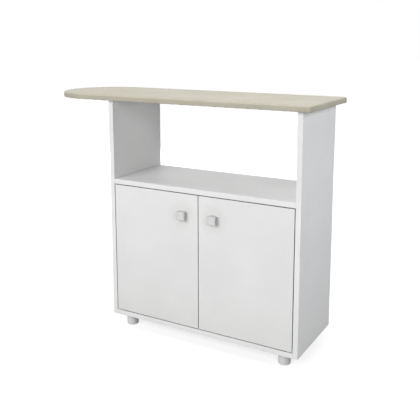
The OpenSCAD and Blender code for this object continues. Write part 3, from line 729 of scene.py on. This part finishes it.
def closeTree(tree, points, form, axis, way, material):  # the form on each point, axis along way
    turned = addNode(tree, "FunctionNodeAlignRotationToVector", {"axis": axis}, {"Vector": way})
    placed = addNode(tree, "GeometryNodeInstanceOnPoints", None,
                     {"Points": points, "Instance": form, "Rotation": turned})
    real = addNode(tree, "GeometryNodeRealizeInstances", None, {"Geometry": placed})
    coloured = addNode(tree, "GeometryNodeSetMaterial", {"Material": material}, {"Geometry": real})
    addNode(tree, "NodeGroupOutput", None, {0: coloured})


def growPiece(piece, tree, sockets, values):
    modifier = piece.modifiers.new("grow", "NODES")
    modifier.node_group = tree
    for label, value in values.items():
        modifier[sockets[label].identifier] = value
    return plain(piece)


# Staples that hold the hem under the core; the wire is pressed flatter as it is driven in

staples = {"spacing": 0.042, "crown": 0.010, "wire": 0.00055, "inset": 0.0078, "height": 0.8564,
           "sides": 8, "pressed": (1.0, 1.3, 0.7)}


def stapleTree():
    sizes = dict.fromkeys(("Spacing", "Crown", "Wire"), "NodeSocketFloat")
    tree, given, sockets = openTree("stapleRow", sizes)
    path = addNode(tree, "GeometryNodeMeshToCurve", None, {"Mesh": given.outputs["Geometry"]})
    spots = addNode(tree, "GeometryNodeResampleCurve", {"mode": "LENGTH"},
                    {"Curve": path, "Length": given.outputs["Spacing"]})
    ends = []
    for half in (-0.5, 0.5):
        reach = addNode(tree, "ShaderNodeMath", {"operation": "MULTIPLY", 1: half},
                        {0: given.outputs["Crown"]})
        ends.append(addNode(tree, "ShaderNodeCombineXYZ", None, {"X": reach}))
    line = addNode(tree, "GeometryNodeCurvePrimitiveLine", None, {"Start": ends[0], "End": ends[1]})
    rim = addNode(tree, "GeometryNodeCurvePrimitiveCircle", {"Resolution": staples["sides"]},
                  {"Radius": given.outputs["Wire"]})
    crown = addNode(tree, "GeometryNodeCurveToMesh", {"Fill Caps": True},
                    {"Curve": line, "Profile Curve": rim})
    flat = addNode(tree, "GeometryNodeTransform", {"Scale": staples["pressed"]},
                   {"Geometry": crown})
    along = addNode(tree, "GeometryNodeInputTangent")
    closeTree(tree, spots, flat, "X", along, finish["bright_steel"])
    return tree, sockets


def hemPath():  # a closed line along the hem
    points = [(x, y, staples["height"]) for x, y in topOutline(staples["inset"])]
    mesh = bpy.data.meshes.new("hemStaples")
    mesh.from_pydata(points, [(i, (i + 1) % len(points)) for i in range(len(points))], [])
    return addPiece("hemStaples", mesh)


stapleNodes, stapleSockets = stapleTree()
hemStaples = growPiece(hemPath(), stapleNodes, stapleSockets,
                       {"Spacing": staples["spacing"], "Crown": staples["crown"],
                        "Wire": staples["wire"]})
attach(hemStaples, "cabinet")
print("hem stapled:", len(hemStaples.data.polygons), "faces")

# Screws with cross recesses: countersunk ones in plates and catch, pan heads in knobs and feet

woodScrew = {"shank": 0.00175, "head": 0.0034, "cone": 0.0019, "plate": 0.016, "catch": 0.028,
             "tip": 0.001, "taper": 0.004, "land": 0.00012, "bevel": 0.0001}
panScrew = {"shank": 0.002, "head": 0.004, "rise": 0.0024, "length": 0.029}
footScrew = {"shank": 0.00225, "head": 0.0045, "rise": 0.003, "length": 0.029}
panDome = {"side": 0.45, "angles": (0, 20, 40, 60, 75)}
crossRecess = {"arm": 0.0019, "width": 0.0007, "deep": 0.0012, "over": 0.001,
               "endArm": 0.35, "endWidth": 0.6}
screwSteps = 24


def turnedForm(name, profile):  # profile (radius, height) turned about Z
    form = bmesh.new()
    loops = []
    for radius, height in profile:
        turns = [2 * math.pi * i / screwSteps for i in range(screwSteps if radius else 1)]
        loops.append([form.verts.new((radius * math.cos(a), radius * math.sin(a), height))
                      for a in turns])
    for lower, upper in zip(loops, loops[1:]):
        for i in range(screwSteps):
            j = (i + 1) % screwSteps
            corners = (lower[i % len(lower)], lower[j % len(lower)],
                       upper[j % len(upper)], upper[i % len(upper)])
            form.faces.new(list(dict.fromkeys(corners)))  # a corner on the axis counts once
    faceOutwards(form)
    return formPiece(name, form)


def crossCutter(name, top):  # a tapering cross that sinks from height top
    recess = crossRecess
    ends = ((top + recess["over"], recess["arm"], recess["width"]),
            (top - recess["deep"], recess["arm"] * recess["endArm"],
             recess["width"] * recess["endWidth"]))
    form = bmesh.new()
    for turn in (0, math.pi / 2):
        corners = []
        for height, arm, width in ends:
            half = width / 2
            for x, y in ((-arm, -half), (arm, -half), (arm, half), (-arm, half)):
                corners.append(form.verts.new((x * math.cos(turn) - y * math.sin(turn),
                                               x * math.sin(turn) + y * math.cos(turn), height)))
        for face in ((0, 1, 2, 3), (7, 6, 5, 4), (0, 4, 5, 1), (1, 5, 6, 2), (2, 6, 7, 3),
                     (3, 7, 4, 0)):
            form.faces.new([corners[i] for i in face])
    faceOutwards(form)
    return formPiece(name, form)


def crossHeaded(name, profile, top):
    screw = turnedForm(name, profile)
    cutter = crossCutter(name + "Cutter", top)
    cut = screw.modifiers.new("recess", "BOOLEAN")
    cut.operation = "DIFFERENCE"
    cut.object = cutter
    cut.use_self = True
    plain(screw)
    bpy.data.objects.remove(cutter)
    return screw


def countersunkForm(name, length):  # the head's flat at height 0, facing up
    s = woodScrew
    return crossHeaded(name, [(0, -length), (s["shank"] * 0.5, -length + s["tip"]),
                              (s["shank"], -length + s["taper"]), (s["shank"], -s["cone"]),
                              (s["head"], -s["land"]), (s["head"] - s["bevel"], 0), (0, 0)], 0.0)


def panForm(name, s):  # underside of the head at height 0
    side = panDome["side"]
    dome = [(s["head"] * math.cos(a), s["rise"] * (side + (1 - side) * math.sin(a)))
            for a in map(math.radians, panDome["angles"])]
    return crossHeaded(name, [(0, -s["length"]), (s["shank"], -s["length"]), (s["shank"], 0),
                              (s["head"], 0)] + dome + [(0, s["rise"])], s["rise"])


def screwTree():
    tree, given, sockets = openTree("screwsOnPoints", {"Screw": "NodeSocketObject"})
    source = addNode(tree, "GeometryNodeObjectInfo", None, {"Object": given.outputs["Screw"]})
    facing = addNode(tree, "GeometryNodeInputNamedAttribute",
                     {"data_type": "FLOAT_VECTOR", "Name": "facing"})
    closeTree(tree, given.outputs["Geometry"], source.outputs["Geometry"], "Z", facing,
              finish["bright_steel"])
    return tree, sockets


screwNodes, screwSockets = screwTree()
screwForms = {"plate": countersunkForm("plateScrew", woodScrew["plate"]),
              "catch": countersunkForm("catchScrew", woodScrew["catch"]),
              "knob": panForm("panScrew", panScrew), "foot": panForm("footScrew", footScrew)}


def screwPiece(name, body, spots, stoodFor):  # spots: (form, place, facing)
    joined = bmesh.new()
    for form in sorted({spot[0] for spot in spots}):
        chosen = [spot for spot in spots if spot[0] == form]
        mesh = bpy.data.meshes.new(name)
        mesh.from_pydata([place for _, place, _ in chosen], [], [])
        facing = mesh.attributes.new("facing", "FLOAT_VECTOR", "POINT")
        for i, (_, _, way) in enumerate(chosen):
            facing.data[i].vector = way
        grown = growPiece(addPiece(name, mesh), screwNodes, screwSockets,
                          {"Screw": screwForms[form]})
        joined.from_mesh(grown.data)
        bpy.data.objects.remove(grown)
    for face in joined.faces:
        face.material_index = 0
    made = formPiece(name, joined)
    made.data.materials.append(finish["bright_steel"])
    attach(made, body)
    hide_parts(stoodFor)


# Where the heads lie, in metres
screwPlaces = {"plateX": {"left": (-0.1875, -0.1695), "right": (0.4525, 0.4345)}, "plateY": -0.1545,
               "floor": 0.060, "ceiling": 0.550, "doorLow": 0.063, "doorHigh": 0.547,
               "strikeX": {"left": 0.114, "right": 0.151}, "strike": (-0.1433, 0.539),
               "catchX": (0.0995, 0.1655), "catch": (-0.1345, 0.533), "knobY": -0.1445,
               "footX": (-0.1815, 0.4465), "footY": (-0.124, 0.104), "footZ": 0.026}
up, down, rear = (0, 0, 1), (0, 0, -1), (0, 1, 0)


def plateSpots(side, low, high):  # low and high: (height, facing)
    return [("plate", (x, screwPlaces["plateY"], z), way) for x in screwPlaces["plateX"][side]
            for z, way in (low, high)]


def allScrews():
    at = screwPlaces
    frameSpots = [spot for side in ("left", "right")
                  for spot in plateSpots(side, (at["floor"], up), (at["ceiling"], down))]
    screwPiece("hingePlateScrews", "cabinet", frameSpots, "frame_plate_screws")
    screwPiece("catchScrews", "cabinet", [("catch", (x, *at["catch"]), down) for x in at["catchX"]],
               "catch_screws")
    screwPiece("footScrews", "cabinet", [("foot", (x, y, at["footZ"]), down) for x in at["footX"]
                                         for y in at["footY"]], "foot_screws")
    for side in ("left", "right"):
        spots = plateSpots(side, (at["doorLow"], down), (at["doorHigh"], up))
        spots.append(("plate", (at["strikeX"][side], *at["strike"]), rear))
        screwPiece(side + "DoorScrews", side + "_door", spots, side + "_door_screws")
        x, _, z = knobPlace[side]
        screwPiece(side + "KnobScrew", side + "_door", [("knob", (x, at["knobY"], z), rear)],
                   side + "_knob_screw")


allScrews()
for form in screwForms.values():
    bpy.data.objects.remove(form)
print("screws set")

# Edging with eased edges, on the carcass and on the doors

edging = {"ease": 0.0007, "steps": 3, "near": 1e-5, "creased": 1.0}
carcass = {"left": -0.2425, "right": 0.5075, "side": 0.018, "front": -0.1625, "band": 0.001,
           "base": 0.042, "top": 0.858, "boards": ((0.042, 0.060), (0.550, 0.568)),
           "joint": 0.0001}


def addBox(form, low, high):
    for vertex in bmesh.ops.create_cube(form, size=1.0)["verts"]:
        vertex.co = Vector([low[i] + (vertex.co[i] + 0.5) * (high[i] - low[i]) for i in range(3)])


def edgingPiece(name, form, sharp, body, stoodFor):  # sharp edges of the form are eased
    bmesh.ops.bevel(form, geom=sharp, offset=edging["ease"], segments=edging["steps"],
                    profile=0.5, affect="EDGES", clamp_overlap=True)
    piece = formPiece(name, form)
    piece.data.materials.append(finish["edge_band"])
    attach(piece, body)
    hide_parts(stoodFor)


def carcassEdging():
    c = carcass
    innerLeft, innerRight = c["left"] + c["side"], c["right"] - c["side"]
    back = c["front"] + c["band"]
    form = bmesh.new()
    addBox(form, (c["left"], c["front"], c["base"]), (innerLeft, back, c["top"]))
    addBox(form, (innerRight, c["front"], c["base"]), (c["right"], back, c["top"]))
    for low, high in c["boards"]:
        addBox(form, (innerLeft + c["joint"], c["front"], low),
               (innerRight - c["joint"], back, high))
    faceOutwards(form)
    front = [edge for edge in form.edges
             if all(abs(vertex.co.y - c["front"]) < tiny for vertex in edge.verts)]
    edgingPiece("carcassEdging", form, front, "cabinet", "carcass_edge_bands")


def doorEdging(side):  # the band with its hinge pockets, its outer edges eased on both faces
    node = side + "_door_edge_band"
    low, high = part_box(node)
    form = bmesh.new()
    form.from_mesh(frame["nodes"][node].data)
    bmesh.ops.remove_doubles(form, verts=form.verts[:], dist=tiny)

    def outermost(vertex, axes):
        return any(min(abs(vertex.co[i] - low[i]), abs(vertex.co[i] - high[i])) < edging["near"]
                   for i in axes)

    rim = [edge for edge in form.edges if edge.calc_face_angle(0.0) > edging["creased"]
           and all(outermost(vertex, (1,)) and outermost(vertex, (0, 2)) for vertex in edge.verts)]
    edgingPiece(side + "DoorEdging", form, rim, side + "_door", node)


carcassEdging()
for side in ("left", "right"):
    doorEdging(side)
print("edging eased")

# Stage, light and camera

white = (1.0, 1.0, 1.0)
stage = {"halfWidth": 30, "bounce": "#8c8c8c", "seen": 0.42, "glowFrom": 0.9, "glowTo": 2.6,
         "glow": 0.73, "farGlow": 1.0, "world": 0.06}
lamps = {
    # A strip no deeper than this leaves the shelf in the top's shade
    "topSoftbox": {"place": (0.05, 0.1, 3.2), "aim": (0.05, 0.1, 0.5), "size": (2.6, 1.3),
                   "power": 50},
    "frontSoftbox": {"place": (-0.9, -3.6, 2.2), "aim": (0.1, 0.0, 0.5), "size": (2.4, 2.4),
                     "power": 114},
    "cornerSoftbox": {"place": (2.4, -2.6, 1.6), "aim": (0.1, 0.0, 0.6), "size": (1.4, 1.4),
                      "power": 33.4},
    "rearSoftbox": {"place": (-1.2, 3.4, 1.5), "aim": (0.1, 0.1, 0.35), "size": (1.8, 1.8),
                    "power": 42},
    # Low and behind the left corner: it lights back and left side, and hardly reaches the shelf
    "leftRearSoftbox": {"place": (-2.8, 2.6, 0.7), "aim": (0.0, 0.1, 0.45), "size": (1.6, 1.0),
                        "power": 60},
    "rightSoftbox": {"place": (2.0, 0.0, 1.55), "aim": (0.5, 0.0, 0.75), "size": (0.8, 0.8),
                     "power": 12.4, "colour": (0.93, 0.96, 1.0)},
}


def isLookedAt(tree):  # 1 for what the camera sees, straight, mirrored or through glass
    path = addNode(tree, "ShaderNodeLightPath")
    straight = addNode(tree, "ShaderNodeMath", {"operation": "MAXIMUM"},
                       {0: path.outputs["Is Camera Ray"], 1: path.outputs["Is Glossy Ray"]})
    return addNode(tree, "ShaderNodeMath", {"operation": "MAXIMUM"},
                   {0: straight, 1: path.outputs["Is Transmission Ray"]})


def floorPiece():  # white where it is looked at, with the object's shadow, grey for what bounces
    half = stage["halfWidth"]
    mesh = bpy.data.meshes.new("studioFloor")
    mesh.from_pydata([(-half, -half, 0), (half, -half, 0), (half, half, 0), (-half, half, 0)], [],
                     [(0, 1, 2, 3)])
    piece = addPiece("studioFloor", mesh)
    material = bpy.data.materials.new("paleStudioFloor")
    tree = emptyTree(material)
    bounce = addNode(tree, "ShaderNodeBsdfDiffuse", {"Color": hexLinear(stage["bounce"])})
    level = stage["seen"]
    seen = addNode(tree, "ShaderNodeBsdfDiffuse", {"Color": (level, level, level, 1)})
    place = addNode(tree, "ShaderNodeTexCoord").outputs["Object"]
    away = addNode(tree, "ShaderNodeVectorMath", {"operation": "LENGTH"}, {0: place})
    strength = addNode(tree, "ShaderNodeMapRange",
                       limits(stage["glowFrom"], stage["glowTo"], stage["glow"], stage["farGlow"]),
                       {"Value": away.outputs["Value"]})
    glow = addNode(tree, "ShaderNodeEmission", {"Color": (*white, 1)}, {"Strength": strength})
    both = addNode(tree, "ShaderNodeAddShader", None, {0: seen, 1: glow})
    mixed = addNode(tree, "ShaderNodeMixShader", None, {0: isLookedAt(tree), 1: bounce, 2: both})
    addNode(tree, "ShaderNodeOutputMaterial", None, {0: mixed})
    mesh.materials.append(material)


def paleWorld():
    world = bpy.data.worlds.new("paleStudio")
    bpy.context.scene.world = world
    tree = emptyTree(world)
    soft = addNode(tree, "ShaderNodeBackground",
                   {"Color": (*white, 1), "Strength": stage["world"]})
    bright = addNode(tree, "ShaderNodeBackground", {"Color": (*white, 1), "Strength": 1.0})
    mixed = addNode(tree, "ShaderNodeMixShader", None, {0: isLookedAt(tree), 1: soft, 2: bright})
    addNode(tree, "ShaderNodeOutputWorld", None, {0: mixed})


def softbox(name, facts):
    light = bpy.data.lights.new(name, "AREA")
    light.shape = "RECTANGLE"
    light.size, light.size_y = facts["size"]
    light.energy = facts["power"]
    light.color = facts.get("colour", white)
    lamp = addPiece(name, light)
    lamp.location = facts["place"]
    way = Vector(facts["aim"]) - Vector(facts["place"])
    lamp.rotation_euler = way.to_track_quat("-Z", "Y").to_euler()
    lamp.visible_camera = False
    lamp.visible_glossy = False


floorPiece()
paleWorld()
for name, facts in lamps.items():
    softbox(name, facts)

view = {"place": (1.22249, -1.99863, 1.08167), "yaw": 29.59, "pitch": 9.71, "lens": 55.09,
        "shift": -0.15, "sensor": 36}
camera = bpy.data.cameras.new("photoCamera")
camera.sensor_width = view["sensor"]
camera.lens = view["lens"]
camera.shift_y = view["shift"]
eye = addPiece("photoCamera", camera)
eye.location = view["place"]
eye.rotation_euler = (math.radians(90 - view["pitch"]), 0, math.radians(view["yaw"]))
bpy.context.scene.camera = eye
bpy.context.scene.view_settings.view_transform = "Standard"

print("stage set")
